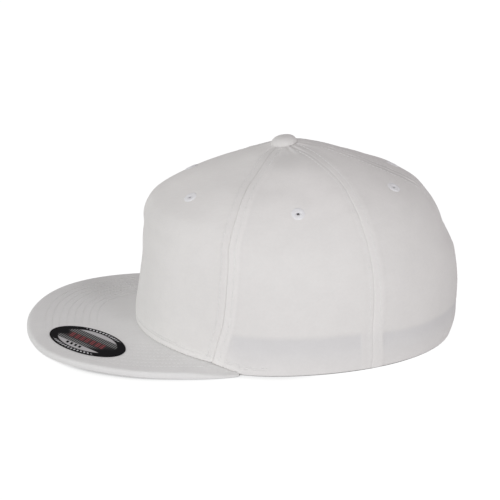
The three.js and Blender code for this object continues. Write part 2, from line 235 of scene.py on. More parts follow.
# ---- the visor's surface
def visor_lift(x, y):
    across = np.maximum(0, 1 - (x / (VISOR_HALF_WIDTH - VISOR_ROUND)) ** 2)
    inward = np.clip((y - VISOR_TIP_Y) / HUMP_LENGTH, 0, HUMP_LIMIT)
    return across * (VISOR_ARCH + VISOR_HUMP * inward) + VISOR_CURL * step(x, 20, 85) * bump_at(y, -115, 45)


def visor_thickness(endward):
    return VISOR_THICKNESS + (VISOR_END_THICKNESS - VISOR_THICKNESS) * step(endward, VISOR_THINS_FROM, 1)


def visor_outline():
    angle = np.linspace(-math.pi / 2, VISOR_TURN, ANGLES)
    power = 2 / VISOR_POWER
    x = VISOR_HALF_WIDTH * np.cos(angle) ** power
    reach = (VISOR_WIDEST_Y - VISOR_TIP_Y) * np.sign(angle) * np.abs(np.sin(angle)) ** power
    return stack(x, VISOR_WIDEST_Y + reach)


def path_lengths(points):
    return np.concatenate([[0], np.cumsum(np.linalg.norm(np.diff(points, axis=0), axis=1))])


VISOR_EDGE = visor_outline()
EDGE_LENGTHS = path_lengths(VISOR_EDGE)
END_Y = crown(VISOR_END_SHARE, run_at(VISOR_THICKNESS))[1]
EDGE_END = np.interp(END_Y, VISOR_EDGE[:, 1], EDGE_LENGTHS)


def edge_point(share):
    """A point of the visor's edge. share runs from -1 at its right end through 0 at the tip to 1."""
    at = np.abs(share) * EDGE_END
    x = np.interp(at, EDGE_LENGTHS, VISOR_EDGE[:, 0]) * np.sign(share)
    point = stack(x, np.interp(at, EDGE_LENGTHS, VISOR_EDGE[:, 1]))
    inward = unit((0, VISOR_WIDEST_Y) - point)
    return point + inward * sum(trim * bump_at(share, at, wide) for trim, at, wide in TRIMS)[..., None]


def edge_distance(x, y):
    """How far a point of the visor is from the visor's edge."""
    near = VISOR_EDGE[::3]
    flat = stack(np.abs(x).ravel(), y.ravel())
    found = np.empty(len(flat))
    a, d = near[:-1], np.diff(near, axis=0)
    for i in range(0, len(flat), 4000):
        p = flat[i:i + 4000, None]
        t = np.clip(((p - a) * d).sum(2) / (d * d).sum(1), 0, 1)
        found[i:i + 4000] = np.linalg.norm(p - a - t[..., None] * d, axis=2).min(1)
    return found.reshape(np.shape(x))


def rim_height(share):
    """Height of the crown's lower edge: on the visor at the front, on the table behind it."""
    endward = np.abs(share) / VISOR_END_SHARE
    wall = crown(share, run_at(VISOR_THICKNESS))
    over = visor_lift(wall[..., 0], wall[..., 1]) + visor_thickness(np.minimum(1, endward))
    return over * (1 - step(endward, 0.994, 1.002))


# ---- seams and relief of the cloth
# depth is that of a seam's groove, and sink how far its stitches sink into the cloth. fore is the side nearer the
# front. strip is the height of the seam allowance that shows through the cloth and width its width. row is the
# distance of the topstitch row from the seam and groove that row's depth. dip is a soft hollow beside the seam, tone
# how much paler the doubled cloth is painted, partly its own colour and partly a painted highlight on the raised
# strip, and clear the distance from which the sweatband's imprint and the painted shade over it show.
SEAMS = {
    "front": {"column": FRONT_SEAM, "depth": 0.25, "sink": 0.07,
              "fore": {"strip": 0.03, "width": 3.5, "row": 4.4, "groove": 0.0, "dip": 0.2, "tone": 0.0, "clear": 2},
              "aft": {"strip": 0.26, "width": 7.6, "row": 4.4, "groove": 0.05, "dip": 0.0, "tone": 0.035, "clear": 8}},
    "back": {"column": BACK_SEAM, "depth": 0.12, "sink": 0.16,
             "fore": {"strip": 0.02, "width": 3.4, "row": 2.3, "groove": 0.03, "dip": 0.0, "tone": 0.01, "clear": 8},
             "aft": {"strip": 0.14, "width": 7.6, "row": 4.4, "groove": 0.03, "dip": 0.0, "tone": 0.03, "clear": 8}},
    "centre": {"column": None, "depth": 0.12, "sink": 0.2,
               "fore": {"strip": 0.05, "width": 7.0, "row": 4.4, "groove": 0.0, "dip": 0.0, "tone": 0.0, "clear": 8}},
}
SEAM_WIDTH = 0.4
DIP_WIDTH = 1.5
ROW_WIDTH = 0.55
STRIP_FADE_Z = (101, 114)
IMPRINT_DEPTH = 0.35      # where the sweatband draws the wall in
IMPRINT_Z = (23.5, 28.0)
IMPRINT_FALL = 3.2        # how much lower its upper edge lies at the back


def seam_share(seam, run):
    column = SEAMS[seam]["column"]
    return np.ones_like(run) if column is None else column_at(column, run)


def seam_slope(seam, run):
    """cos of the seam's lean, which turns a distance round the crown into one square to the seam."""
    away = (seam_share(seam, run + 1) - seam_share(seam, run - 1)) / 2 * half_length(run)
    return 1 / np.sqrt(1 + away ** 2)


def strip_shows(run):
    """How much of a seam allowance shows through the cloth, which is less near the button."""
    return 1 - 0.6 * step(run, *run_at(STRIP_FADE_Z))


def seam_distance(share, run, seam, sign):
    """How far a point of the crown is from a seam, square to it. sign is -1 for the seam on the -X side."""
    return np.abs(share - sign * seam_share(seam, run)) * half_length(run) * seam_slope(seam, run)


def seam_relief(d, run, depth, side):
    """How far the cloth stands out beside a seam, at the distance d from it."""
    groove = -depth * bump_at(d, 0, SEAM_WIDTH) - side["dip"] * bump_at(d, 0, DIP_WIDTH)
    raised = side["strip"] * step(d, 0.15, 0.8) * (1 - step(d, side["width"] - 1.6, side["width"] + 0.8))
    raised = raised * strip_shows(run)
    row = -side["groove"] * bump_at(d, side["row"], ROW_WIDTH)
    gather = np.sin(run * 0.9 + 1.7 * np.sin(run * 0.23)) + 0.6 * np.sin(run * 1.63 + 2)
    pucker = 0.05 * gather * bump_at(d, side["row"] + 0.6, 3.0)
    return groove + raised + row + pucker


def wander(share, run):
    """Broad soft unevenness of worn-in cloth, away from the rim and the button."""
    along = share * half_length(run)
    waves = (0.16 * np.sin(along * 0.083 + 0.7) * np.sin(run * 0.071 + 0.4)
             + 0.1 * np.sin(along * 0.16 - run * 0.05 + 2.1)
             + 0.07 * np.sin(along * 0.05 + run * 0.19 + 0.3))
    return waves * step(run, 3, 18) * (1 - step(run, FULL_RUN - 26, FULL_RUN - 10))


# broad soft patches of painted light and shade on the cloth, paler or darker by how the light falls:
# (how much paler, share round the crown, width in shares, z, height)
LIGHT_AND_SHADE_PATCHES = [
    (0.09, 0.56, 0.13, 107, 9), (0.04, 0.8, 0.05, 101, 8), (0.07, 0.0, 0.12, 101, 9), (0.035, 0.2, 0.08, 48, 26),
    (0.06, 0.5, 9.0, 0, 10), (-0.05, 0.7, 0.16, 116, 5), (-0.025, 0.73, 0.06, 70, 12), (-0.06, 0.12, 0.07, 84, 8),
    (0.035, 0.27, 0.05, 96, 6), (-0.05, 0.29, 0.04, 110, 6), (-0.04, 0.48, 0.12, 118, 4), (0.04, 0.64, 0.05, 98, 9),
    (-0.045, 0.515, 0.03, 103, 4),
]
RIM_ROW_AT = 4.2          # the first stitch row above the visor, from the rim


def crown_relief(share, run, seams):
    """How far the cloth stands out of the CAD's crown, how much paler it is painted there, mostly painted light and
    shade, and how far the sweatband's imprint and the painted shade over it show. seams is (name, sign, side) for each
    of the panel's."""
    z, around, to_top = column_at(Z, run), np.abs(share), FULL_RUN - run
    out = wander(share, run)
    near, tone = np.ones_like(out), np.zeros_like(out)
    for name, sign, side in seams:
        d = seam_distance(share, run, name, sign)
        width, clear = SEAMS[name][side]["width"], SEAMS[name][side]["clear"]
        out += seam_relief(d, run, SEAMS[name]["depth"], SEAMS[name][side])
        near *= step(d, clear - 1.5, clear + 0.5)
        # the strip is painted paler, partly the doubled cloth's own colour and partly a painted highlight on the raised
        # strip, with a thin painted shade just beyond its edge
        paler = SEAMS[name][side]["tone"] * strip_shows(run)
        tone += paler * step(d, 0.3, 0.8) * (1 - step(d, width - 1.2, width + 0.6))
        tone -= 0.012 * bump_at(d, width + 1.3, 0.9)
        # a streak of painted shade beside the centre-back seam, below the top
        if name == "centre":
            tone -= 0.14 * bump_at(d, 2.7, 1.7) * step(z, 93, 105) * (1 - step(z, 108, 117))
    # the sweatband's imprint behind the visor's ends, with painted shade over it
    endward = around / VISOR_END_SHARE
    drawn = step(endward, 0.86, 1.0)
    up = z + IMPRINT_FALL * step(around, 0.6, 0.8)
    # how far the sweatband draws the wall in, and how much painted shade lies over it
    imprint_and_shade = (1 - step(up, *IMPRINT_Z)) * (0.25 + 0.75 * near) * drawn * (0.2 + 0.8 * step(z, 3, 22))
    out -= IMPRINT_DEPTH * imprint_and_shade
    # the stitch rows' groove and the roll of cloth below it, above the visor
    front_row = 1 - step(endward, 1.1, 1.2)
    above_rim = run - run_at(rim_height(share))
    out -= 0.16 * bump_at(above_rim, RIM_ROW_AT, 0.6) * front_row
    out += 0.12 * bump_at(above_rim, 1.8, 1.6) * front_row
    # folds round the button, painted shade round it and on the top's sides, and a painted highlight just below its foot
    folds = np.cos(share * 41 + 1.1 * np.sin(share * 9)) + 0.6 * np.cos(share * 67 + 2)
    out += 0.16 * folds * bump_at(to_top, 13, 8)
    tone -= 0.07 * bump_at(to_top, 8, 22) + 0.02 * folds * bump_at(to_top, 14, 8)
    tone += 0.05 * bump_at(to_top, 9, 5)
    tone -= 0.1 * (1 - step(to_top, 24, 42)) * step(around, 0.12, 0.3) * (1 - step(around, 0.76, 0.88))
    # broad patches of painted light and shade
    for amount, at, wide, height, tall in LIGHT_AND_SHADE_PATCHES:
        tone += amount * bump_at(around, at, wide) * bump_at(z, height, tall)
    return out, tone, imprint_and_shade


# ---- meshes
def to_row(points):
    moved = np.array(points, float)
    moved[:, 1] += SHIFT_Y
    return moved * MM


CLOTH_SHARP = 60          # degrees between faces from which the cloth's shading breaks


def write_vectors(mesh, name, values):
    made = mesh.attributes.new(name, "FLOAT_VECTOR", "POINT")
    made.data.foreach_set("vector", np.ascontiguousarray(values, np.float32).ravel())


def make(name, points, faces, material, replaces=(), weave=None, shades=None, sharp=None):
    """A piece of the cap from points in the crown's frame. weave gives each point's place on the cloth, and
    shades how much paler the cloth is painted there, mostly painted light and shade, and how much painted shade lies
    over the sweatband."""
    mesh = bpy.data.meshes.new(name)
    mesh.from_pydata(to_row(points).tolist(), [], [list(map(int, f)) for f in faces])
    for label, values in (("weave", weave), ("shades", shades)):
        if values is not None:
            write_vectors(mesh, label, values)
    mesh.validate()
    mesh.update()
    mesh.shade_smooth()
    if sharp:
        mesh.set_sharp_from_angle(angle=math.radians(sharp))
    piece = bpy.data.objects.new(name, mesh)
    bpy.context.scene.collection.objects.link(piece)
    mesh.materials.append(material)
    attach(piece, "root")
    if replaces:
        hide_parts(*replaces)
    return piece


def slab(outer, inner, hole=None):
    """Points and faces of a closed wall between two grids of points. hole marks grid cells that are cut out."""
    rows, columns = outer.shape[:2]
    points = np.concatenate([outer.reshape(-1, 3), inner.reshape(-1, 3)])
    out = np.arange(rows * columns).reshape(rows, columns)
    back = out + rows * columns
    if hole is None:
        hole = np.zeros((rows - 1, columns - 1), bool)
    kept = ~hole
    faces = [
        stack(out[:-1, :-1], out[:-1, 1:], out[1:, 1:], out[1:, :-1])[kept],
        stack(back[:-1, :-1], back[1:, :-1], back[1:, 1:], back[:-1, 1:])[kept],
        stack(back[:-1, 0], out[:-1, 0], out[1:, 0], back[1:, 0]),
        stack(out[:-1, -1], back[:-1, -1], back[1:, -1], out[1:, -1]),
        stack(back[0, :-1], back[0, 1:], out[0, 1:], out[0, :-1]),
        stack(out[-1, :-1], out[-1, 1:], back[-1, 1:], back[-1, :-1]),
    ]
    # walls round the cut-out cells: (where, the two grids in the face's order, whether the edge runs up the wall)
    for starts, first, second, upright in (
            (hole[:, 1:] & kept[:, :-1], out, back, 1), (hole[:, :-1] & kept[:, 1:], back, out, 1),
            (hole[1:] & kept[:-1], back, out, 0), (hole[:-1] & kept[1:], out, back, 0)):
        r, c = np.nonzero(starts)
        from_point, to_point = (r + 1 - upright, c + upright), (r + 1, c + 1)
        faces.append(stack(first[from_point], second[from_point], second[to_point], first[to_point]))
    return points, np.concatenate(faces)


def drop_loose(points, faces, *others):
    used = np.zeros(len(points), bool)
    used[faces.ravel()] = True
    index = np.cumsum(used) - 1
    return points[used], index[faces], *(o[used] for o in others)


def revolve(profile, turns, place, wave):
    """Points of a ring or dome: profile is (radius, height) pairs, place is (origin, across, up, out), and wave makes
    the radius and the height uneven round it."""
    origin, across, up, out = place
    angle = np.arange(turns) / turns * 2 * math.pi
    radius, height = wave(angle[:, None], profile[:, 0][None], profile[:, 1][None])
    spoke = np.cos(angle)[:, None] * across + np.sin(angle)[:, None] * up
    return (origin + radius[..., None] * spoke[:, None] + height[..., None] * out).reshape(-1, 3)


def ring_faces(turns, count):
    """Faces of a revolved profile that is a loop."""
    grid = np.arange(turns * count).reshape(turns, count)
    after = np.roll(grid, -1, 0)
    return stack(np.roll(grid, -1, 1), np.roll(after, -1, 1), after, grid).reshape(-1, 4)


def dome_faces(turns, count, flipped=False):
    """Faces of a revolved open profile, and a cap on each of its ends."""
    grid = np.arange(turns * count).reshape(turns, count)
    after = np.roll(grid, -1, 0)
    faces = stack(grid[:, :-1], after[:, :-1], after[:, 1:], grid[:, 1:]).reshape(-1, 4).tolist()
    faces += [grid[::-1, 0].tolist(), grid[:, -1].tolist()]
    return [face[::-1] for face in faces] if flipped else faces


STITCH_PITCH, STITCH_LENGTH, STITCH_RADIUS = 2.5, 2.1, 0.17
STITCH_LIFT = 0.12
STITCH_SIDES = 6
# places along a stitch, and its height and thickness there
STITCH_AT = np.array([-0.5, -0.36, -0.12, 0.12, 0.36, 0.5])
STITCH_BOW = np.array([-0.28, 0.02, 0.14, 0.14, 0.02, -0.28]) * 2.2
STITCH_SIZE = np.array([0.45, 0.85, 1, 1, 0.85, 0.45])


def sew(name, paths):
    """A piece of stitches along paths of (points, normals). Each is a small bowed roll that dives into the cloth."""
    turn = np.arange(STITCH_SIDES) / STITCH_SIDES * 2 * math.pi
    points, faces, count = [], [], 0
    for line, normals in paths:
        along = path_lengths(line)
        total = int(along[-1] // STITCH_PITCH)
        if total < 1:
            continue
        middles = (np.arange(total) + 0.5) * along[-1] / total
        at = middles[:, None] + STITCH_AT * STITCH_LENGTH
        centre, out = (stack(*(np.interp(at, along, column) for column in part.T)) for part in (line, normals))
        out = unit(out)
        across = unit(np.cross(out, np.gradient(centre, axis=1)))
        centre = centre + out * (STITCH_LIFT + STITCH_BOW * STITCH_RADIUS)[:, None]
        size = (STITCH_SIZE * STITCH_RADIUS)[:, None]
        rings = (centre[:, :, None] + across[:, :, None] * (np.cos(turn) * size)[..., None]
                 + out[:, :, None] * (np.sin(turn) * size)[..., None])
        ids = count + np.arange(rings.size // 3).reshape(rings.shape[:3])
        beside = np.roll(ids, -1, 2)
        faces += stack(ids[:, :-1], beside[:, :-1], beside[:, 1:], ids[:, 1:]).reshape(-1, 4).tolist()
        faces += ids[:, 0, ::-1].tolist() + ids[:, -1].tolist()
        points.append(rings.reshape(-1, 3))
        count += ids.size
    make(name, np.concatenate(points), faces, THREAD)


# ---- materials
class Sums:
    """A material, and small sums of node values, so that a pattern reads like a formula."""

    def __init__(self, name):
        self.material = bpy.data.materials.new(name)
        self.material.use_nodes = True
        self.tree = self.material.node_tree

    def feed(self, socket, value):
        if isinstance(value, bpy.types.NodeSocket):
            self.tree.links.new(value, socket)
        else:
            socket.default_value = value

    def node(self, kind, inputs=(), **settings):
        """A new node. Each of its inputs is a value or the socket that it comes from."""
        node = self.tree.nodes.new("ShaderNode" + kind)
        for key, value in settings.items():
            setattr(node, key, value)
        for key, value in dict(inputs).items():
            self.feed(node.inputs[key], value)
        return node

    def surface(self, inputs):
        """The material, with these inputs of its shader set."""
        for key, value in inputs.items():
            self.feed(self.tree.nodes["Principled BSDF"].inputs[key], value)
        return self.material

    def do(self, operation, *values):
        return self.node("Math", enumerate(values), operation=operation).outputs[0]

    def scaled(self, value, by, plus=0.0):
        return self.do("MULTIPLY_ADD", value, by, plus)

    def ramp(self, value, low, high):
        inputs = {"Value": value, "From Min": low, "From Max": high}
        return self.node("MapRange", inputs, interpolation_type="SMOOTHSTEP").outputs["Result"]

    def mix(self, share, first, second):
        """The colour first where share is 0, and second where it is 1."""
        node = self.node("Mix", data_type="RGBA")
        colours = [(*colour, 1) if isinstance(colour, tuple) else colour for colour in (first, second)]
        for socket, value in zip([socket for socket in node.inputs if socket.enabled], (share, *colours)):
            self.feed(socket, value)
        return [socket for socket in node.outputs if socket.enabled][0]

    def times(self, first, second):
        return self.node("VectorMath", enumerate((first, second)), operation="MULTIPLY").outputs[0]

    def noise(self, vector, scale, detail, roughness):
        inputs = {"Vector": vector, "Scale": scale, "Detail": detail, "Roughness": roughness}
        return self.node("TexNoise", inputs).outputs["Fac"]

    def bump(self, height, strength, distance):
        """The normal of a surface on which height, from 0 to 1, stands out by the distance in mm."""
        inputs = {"Height": height, "Strength": strength, "Distance": distance * MM}
        return self.node("Bump", inputs).outputs["Normal"]

    def attribute(self, name):
        return self.node("Attribute", attribute_name=name).outputs["Vector"]

    def position(self):
        return self.node("NewGeometry").outputs["Position"]

    def apart(self, vector):
        return self.node("SeparateXYZ", {0: vector}).outputs


BAND_PAINTED_SHADE = (0.905, 0.912, 0.93)      # painted shade, a little bluish, on the cloth over the sweatband where the wall is drawn in


def twill(name, light, dark, pitch, depth, sheen):
    """Cloth whose diagonal ribs and yarns follow the weave attribute, which is in metres along and up the cloth."""
    sums = Sums(name)
    place = sums.attribute("weave")
    u, v, _ = sums.apart(place)
    turn = 2 * math.pi / (pitch * MM)
    rib = sums.do("SINE", sums.scaled(sums.do("ADD", u, v), turn))
    yarn = sums.do("SINE", sums.scaled(sums.do("SUBTRACT", u, v), turn * 1.9))
    slub = sums.noise(place, 900.0, 3.0, 0.6)
    height = sums.scaled(slub, 0.5, sums.scaled(rib, 0.34, sums.scaled(yarn, 0.16)))
    broad = sums.noise(place, 90.0, 3.0, 0.6)
    fine = sums.noise(place, 520.0, 3.0, 0.65)
    tone = sums.scaled(sums.ramp(broad, 0.3, 0.7), 0.2, sums.scaled(fine, 0.6))
    tone = sums.scaled(sums.ramp(rib, -1, 1), 0.2, tone)
    # shades paints light and shade: paler where light is painted, darker with painted shade over the sweatband
    paler, band_shade, _ = sums.apart(sums.attribute("shades"))
    colour = sums.times(sums.mix(tone, dark, light), sums.mix(band_shade, (1.0, 1.0, 1.0), BAND_PAINTED_SHADE))
    return sums.surface({
        "Base Color": sums.times(colour, sums.do("ADD", paler, 1.0)), "Roughness": sums.scaled(fine, 0.12, 0.82),
        "Sheen Weight": sheen, "Sheen Roughness": 0.45, "Specular IOR Level": 0.28,
        "Normal": sums.bump(height, 0.5, depth)})


def thread_material(name, colour):
    sums = Sums(name)
    fleck = sums.noise(sums.position(), 1500.0, 2.0, 0.6)
    dark = tuple(c * 0.9 for c in colour)
    return sums.surface({
        "Base Color": sums.mix(fleck, dark, colour), "Roughness": sums.scaled(fleck, 0.2, 0.45),
        "Sheen Weight": 0.15, "Specular IOR Level": 0.4, "Normal": sums.bump(fleck, 0.4, 0.05)})


BLACK_INK, SILVER_INK, PALE_INK = (0.006, 0.006, 0.007), (0.52, 0.51, 0.52), (0.66, 0.66, 0.68)


def sticker_material():
    """Black foil with two silver fields, a dark ribbed band along its length and a row of plain red lozenges.
    The face attribute is each point's place from the sticker's middle, in sticker half lengths and half widths."""
    sums = Sums("printed_foil")
    face = sums.attribute("face")
    p, q, _ = sums.apart(face)
    radius = sums.do("SQRT", sums.do("ADD", sums.do("MULTIPLY", p, p), sums.do("MULTIPLY", q, q)))
    slanted = sums.scaled(q, 0.22, p)

    def from_middle(value, middle=0.0):
        return sums.do("ABSOLUTE", sums.do("SUBTRACT", value, middle))

    def within(value, middle, half):
        """1 where value is less than half from middle, with a soft edge."""
        return sums.do("SUBTRACT", 1.0, sums.ramp(from_middle(value, middle), half - 0.015, half + 0.015))

    def bars(count, fill):
        """1 on slanted bars across the sticker's length, so many to each half length, whose share is fill."""
        return within(sums.do("FRACT", sums.scaled(slanted, count, 0.5)), 0.5, fill / 2)

    def both(*masks):
        product = masks[0]
        for mask in masks[1:]:
            product = sums.do("MULTIPLY", product, mask)
        return product

    # two fields of silver with a darker band between them, ribbed square to the sticker's length
    inside = within(radius, 0.0, 0.775)
    in_band = within(q, 0.04, 0.49)
    rib = sums.do("SINE", sums.scaled(slanted, 110.0))
    groove = sums.ramp(rib, -1, 1)
    flank = sums.mix(groove, (0.025, 0.025, 0.025), (0.24, 0.24, 0.24))
    core = sums.mix(groove, (0.01, 0.01, 0.012), (0.07, 0.065, 0.065))
    off_core = from_middle(q)
    ribbed = sums.mix(sums.ramp(off_core, 0.14, 0.26), core, flank)
    fading = sums.ramp(sums.scaled(q, -0.7, p), 0.36, 0.76)
    at_start = sums.ramp(sums.scaled(off_core, 0.6, p), -0.62, -0.5)
    dark_end = sums.do("MAXIMUM", fading, sums.do("SUBTRACT", 1.0, at_start))
    content = sums.mix(in_band, SILVER_INK, sums.mix(dark_end, ribbed, BLACK_INK))
    # lozenges, and four small bars below them
    red = sums.mix(groove, (0.1, 0.02, 0.027), (0.27, 0.09, 0.092))
    lozenges = both(bars(6.4, 0.76), within(q, 0.02, 0.165), within(slanted, -0.03, 0.54))
    small = both(bars(8.0, 0.55), within(q, -0.57, 0.08), within(slanted, -0.187, 0.25))
    content = sums.mix(small, sums.mix(lozenges, content, red), BLACK_INK)
    # pale ticks along two stretches of the rim
    turn = sums.do("ARCTAN2", q, p)
    tick = sums.ramp(sums.do("SINE", sums.scaled(turn, 62.0)), -0.2, 0.3)
    ticks = both(tick, within(radius, 0.885, 0.045), sums.ramp(from_middle(q, 0.03), 0.7, 0.75))
    wear = sums.noise(face, 14.0, 4.0, 0.6)
    return sums.surface({
        "Base Color": sums.mix(ticks, sums.mix(inside, BLACK_INK, content), PALE_INK),
        "Roughness": sums.scaled(wear, 0.16, 0.4), "Specular IOR Level": 0.03,
        "Normal": sums.bump(both(rib, in_band, inside), 0.3, 0.02)})


CROWN_CLOTH = twill("white_twill", (0.838, 0.825, 0.812), (0.758, 0.745, 0.732), 0.9, 0.09, 0.12)
VISOR_CLOTH = twill("visor_twill", (0.82, 0.818, 0.812), (0.74, 0.738, 0.732), 0.9, 0.09, 0.12)
BAND_CLOTH = twill("band_weave", (0.8, 0.8, 0.79), (0.7, 0.7, 0.69), 1.3, 0.14, 0.2)
THREAD = thread_material("white_thread", (0.86, 0.858, 0.852))
# paler and bluer than the cloth: partly the thread's own colour and partly a painted sheen
SATIN_THREAD = thread_material("satin_thread", (0.875, 0.875, 0.895))
FOIL = sticker_material()

# ---- crown panels
HOLE_RUN = FULL_RUN + (SECTION_RUNS[-2] - FULL_RUN) * TOP_HOLE_SHARE
ROUND = WALL / 2
RIM_TURNS = np.radians([86, 62, 40, 20])     # round the panels' lower edge
PANEL_ROWS = 150
SEAM_ZONE = 11.0       # mm beside a seam with fine columns
FINE, COARSE = 0.3, 1.5
SEAM_GAP = 0.03
HOLE_RADIUS = 2.4      # of the cut in the cloth, hidden by the eyelet
PANELS = [
    ("front_panel", ("front", -1, "fore"), ("front", 1, "fore")),
    ("side_panel_left", ("front", 1, "aft"), ("back", 1, "fore")),
    ("side_panel_right", ("back", -1, "fore"), ("front", -1, "aft")),
    ("back_panel_left", ("back", 1, "aft"), ("centre", 1, "fore")),
    ("back_panel_right", ("centre", -1, "fore"), ("back", -1, "aft")),
]


def spread(width):
    """Shares of a panel's width at which it has columns, close together beside its seams."""
    zone = SEAM_ZONE / width
    fine = np.linspace(0, zone, int(SEAM_ZONE / FINE) + 1)
    middle = np.linspace(zone, 1 - zone, int((width - 2 * SEAM_ZONE) / COARSE) + 1)
    return np.concatenate([fine[:-1], middle, 1 - fine[::-1][1:]])


def eyelet_sites():
    """The name, centre and outward direction of each eyelet."""
    sites = []
    for name, z, share in EYELETS:
        for word, sign in (("left", 1), ("right", -1)):
            at = (sign * share, float(run_at(z)))
            sites.append((f"{name}_{word}", crown(*at), crown_normal(*at)))
    return sites


SITES = eyelet_sites()


def panel(node, low, high):
    """One sewn panel. low and high are the seams at its edges, as (name, sign, side of the seam)."""
    edge_low = low[1] * seam_share(low[0], np.zeros(1))[0]
    edge_high = high[1] * seam_share(high[0], np.zeros(1))[0]
    u = spread((edge_high - edge_low) * half_length(0))
    base = run_at(rim_height(edge_low + (edge_high - edge_low) * u)) + ROUND
    up = np.linspace(0, 1, PANEL_ROWS) ** 1.02
    run = np.concatenate([base - ROUND * np.sin(RIM_TURNS)[:, None], base + (HOLE_RUN - base) * up[:, None]])
    depth = np.zeros_like(run)
    depth[:len(RIM_TURNS)] = (ROUND * (1 - np.cos(RIM_TURNS)))[:, None]
    gap = SEAM_GAP / half_length(run)
    start = low[1] * seam_share(low[0], run) + gap
    end = high[1] * seam_share(high[0], run) - gap
    share = start + (end - start) * u
    relief, tone, imprint_and_shade = crown_relief(share, run, (low, high))
    outer = crown(share, run, depth - relief)
    # the seam's allowances and ridge on the inside
    ribs = np.zeros_like(relief)
    for seam, sign, _ in (low, high):
        d = seam_distance(share, run, seam, sign)
        ribs += 0.55 * (1 - step(d, 5.6, 7.4)) + 0.25 * bump_at(d, 0, 0.8)
    inner = crown(share, run, WALL - depth + ribs * step(run - base, 0, 3) * (1 - step(run, HOLE_RUN - 12, HOLE_RUN)))
    for _, centre, out in SITES:
        r = np.linalg.norm(outer - centre, axis=2)
        pull = 0.16 * bump_at(r, EYELET_RADIUS + 0.2, 0.9) + 0.06 * bump_at(r, EYELET_RADIUS, 3.5)
        outer -= pull[..., None] * out
    middle = (outer[:-1, :-1] + outer[1:, 1:]) / 2
    hole = np.zeros(middle.shape[:2], bool)
    for _, centre, _ in SITES:
        hole |= np.linalg.norm(middle - centre, axis=2) < HOLE_RADIUS
    for face in (outer, inner):
        face[..., 2] = np.maximum(face[..., 2], TABLE_GAP)
    points, faces = slab(outer, inner, hole)
    along = (share - (start[:, :1] + end[:, -1:]) / 2) * half_length(run) * MM
    weave = stack(along, run * MM, np.zeros_like(run)).reshape(-1, 3)
    shades = stack(tone, imprint_and_shade, np.zeros_like(tone)).reshape(-1, 3)
    points, faces, weave, shades = drop_loose(points, faces, np.tile(weave, (2, 1)), np.tile(shades, (2, 1)))
    make(f"sewn_{node}", points, faces, CROWN_CLOTH, (node,), weave, shades, sharp=CLOTH_SHARP)


for row in PANELS:
    panel(*row)


# ---- topstitching of the crown
ROW_CLEAR = 1.2           # from the rim to the first stitch


def seam_row(name, sign, side):
    """The path of the topstitch row on one side of a seam."""
    run = np.linspace(ROW_CLEAR, HOLE_RUN - 5.5, 400)
    lean = 1 if side == "aft" else -1
    part = SEAMS[name][side]
    share = sign * (seam_share(name, run) + lean * part["row"] / (half_length(run) * seam_slope(name, run)))
    kept = run > run_at(rim_height(share)) + ROW_CLEAR
    share, run = share[kept], run[kept]
    height = part["strip"] * (1 - step(part["row"], part["width"] - 0.7, part["width"] + 0.5))
    relief = wander(share, run) + height * strip_shows(run) - part["groove"] - SEAMS[name]["sink"]
    imprint = (1 - step(column_at(Z, run), *IMPRINT_Z)) * step(np.abs(share) / VISOR_END_SHARE, 0.9, 1.25)
    return crown(share, run, 0.4 * IMPRINT_DEPTH * imprint - relief), crown_normal(share, run)


rows = []
for sign in (1, -1):
    for side in ("fore", "aft"):
        rows += [seam_row("front", sign, side), seam_row("back", sign, side)]
    rows.append(seam_row("centre", sign, "fore"))
sew("crown_topstitching", rows)


def rim_row(away):
    """A stitch row round the front, above the visor."""
    share = np.linspace(-1.17, 1.17, 700) * VISOR_END_SHARE
    run = run_at(rim_height(share)) + away
    return crown(share, run, 0.08), crown_normal(share, run)


sew("front_rim_stitching", [rim_row(RIM_ROW_AT), rim_row(RIM_ROW_AT + 1.7)])

# ---- visor
ROW_FIRST, ROW_PITCH, ROW_COUNT = 10.6, 4.75, 8
VISOR_COLUMNS = 300
VISOR_ROWS = 120
EDGE_ROUND = 2.9
UNDER_ROUND = 1.1
EDGE_SHARE = 0.75      # of the visor's thickness that the upper rounding takes
EDGE_POWER = 2.7       # 2 would be an elliptical edge, more is squarer
EDGE_TURNS = np.radians([3, 15, 27, 39, 51, 63, 75, 90])
PANEL_FRONT = {"middle_y": -11.0, "half_width": 85.5, "reach": 89.0}     # the oval that the stitch rows end at


def visor_relief(e, x):
    """Stitched grooves and the soft pads between them, by distance e from the visor's edge. Flatter at its left."""
    grooves = sum(bump_at(e, ROW_FIRST + k * ROW_PITCH, 0.6) for k in range(ROW_COUNT))
    last = ROW_FIRST + (ROW_COUNT - 1) * ROW_PITCH
    rows_here = step(e, ROW_FIRST - 4, ROW_FIRST) * (1 - step(e, last, last + 4))
    pads = 0.5 - 0.5 * np.cos((e - ROW_FIRST) * 2 * math.pi / ROW_PITCH)
    return (1 - 0.6 * step(x, 0, 50)) * (-0.07 * grooves + 0.06 * (pads - 0.5) * rows_here)


def visor_skin(t, rounding, shape, thickness):
    """Places on one face of the visor from its edge inwards, and how deep each lies below a square edge."""
    rim = edge_point(t)
    root = crown(t * VISOR_END_SHARE, run_at(VISOR_THICKNESS), WALL)[:, :2]
    width = np.linalg.norm(root - rim, axis=1)
    rounding = np.minimum(rounding, 0.4 * width)
    inward = np.concatenate([np.zeros(len(EDGE_TURNS)), np.linspace(0, 1, VISOR_ROWS)[1:]])
    rounds = np.concatenate([1 - np.cos(EDGE_TURNS).clip(0) ** (2 / shape), np.ones(VISOR_ROWS - 1)])
    away = rounds[:, None] * rounding + inward[:, None] * (width - rounding)
    x, y = np.moveaxis(rim + (root - rim) * (away / width)[..., None], -1, 0)
    depth = np.concatenate([1 - np.sin(EDGE_TURNS) ** (2 / shape), np.zeros(VISOR_ROWS - 1)])[:, None] * thickness
    relief = visor_relief(edge_distance(x, y), x) * step(inward, 0, 0.06)[:, None]
    return x, y, depth, relief


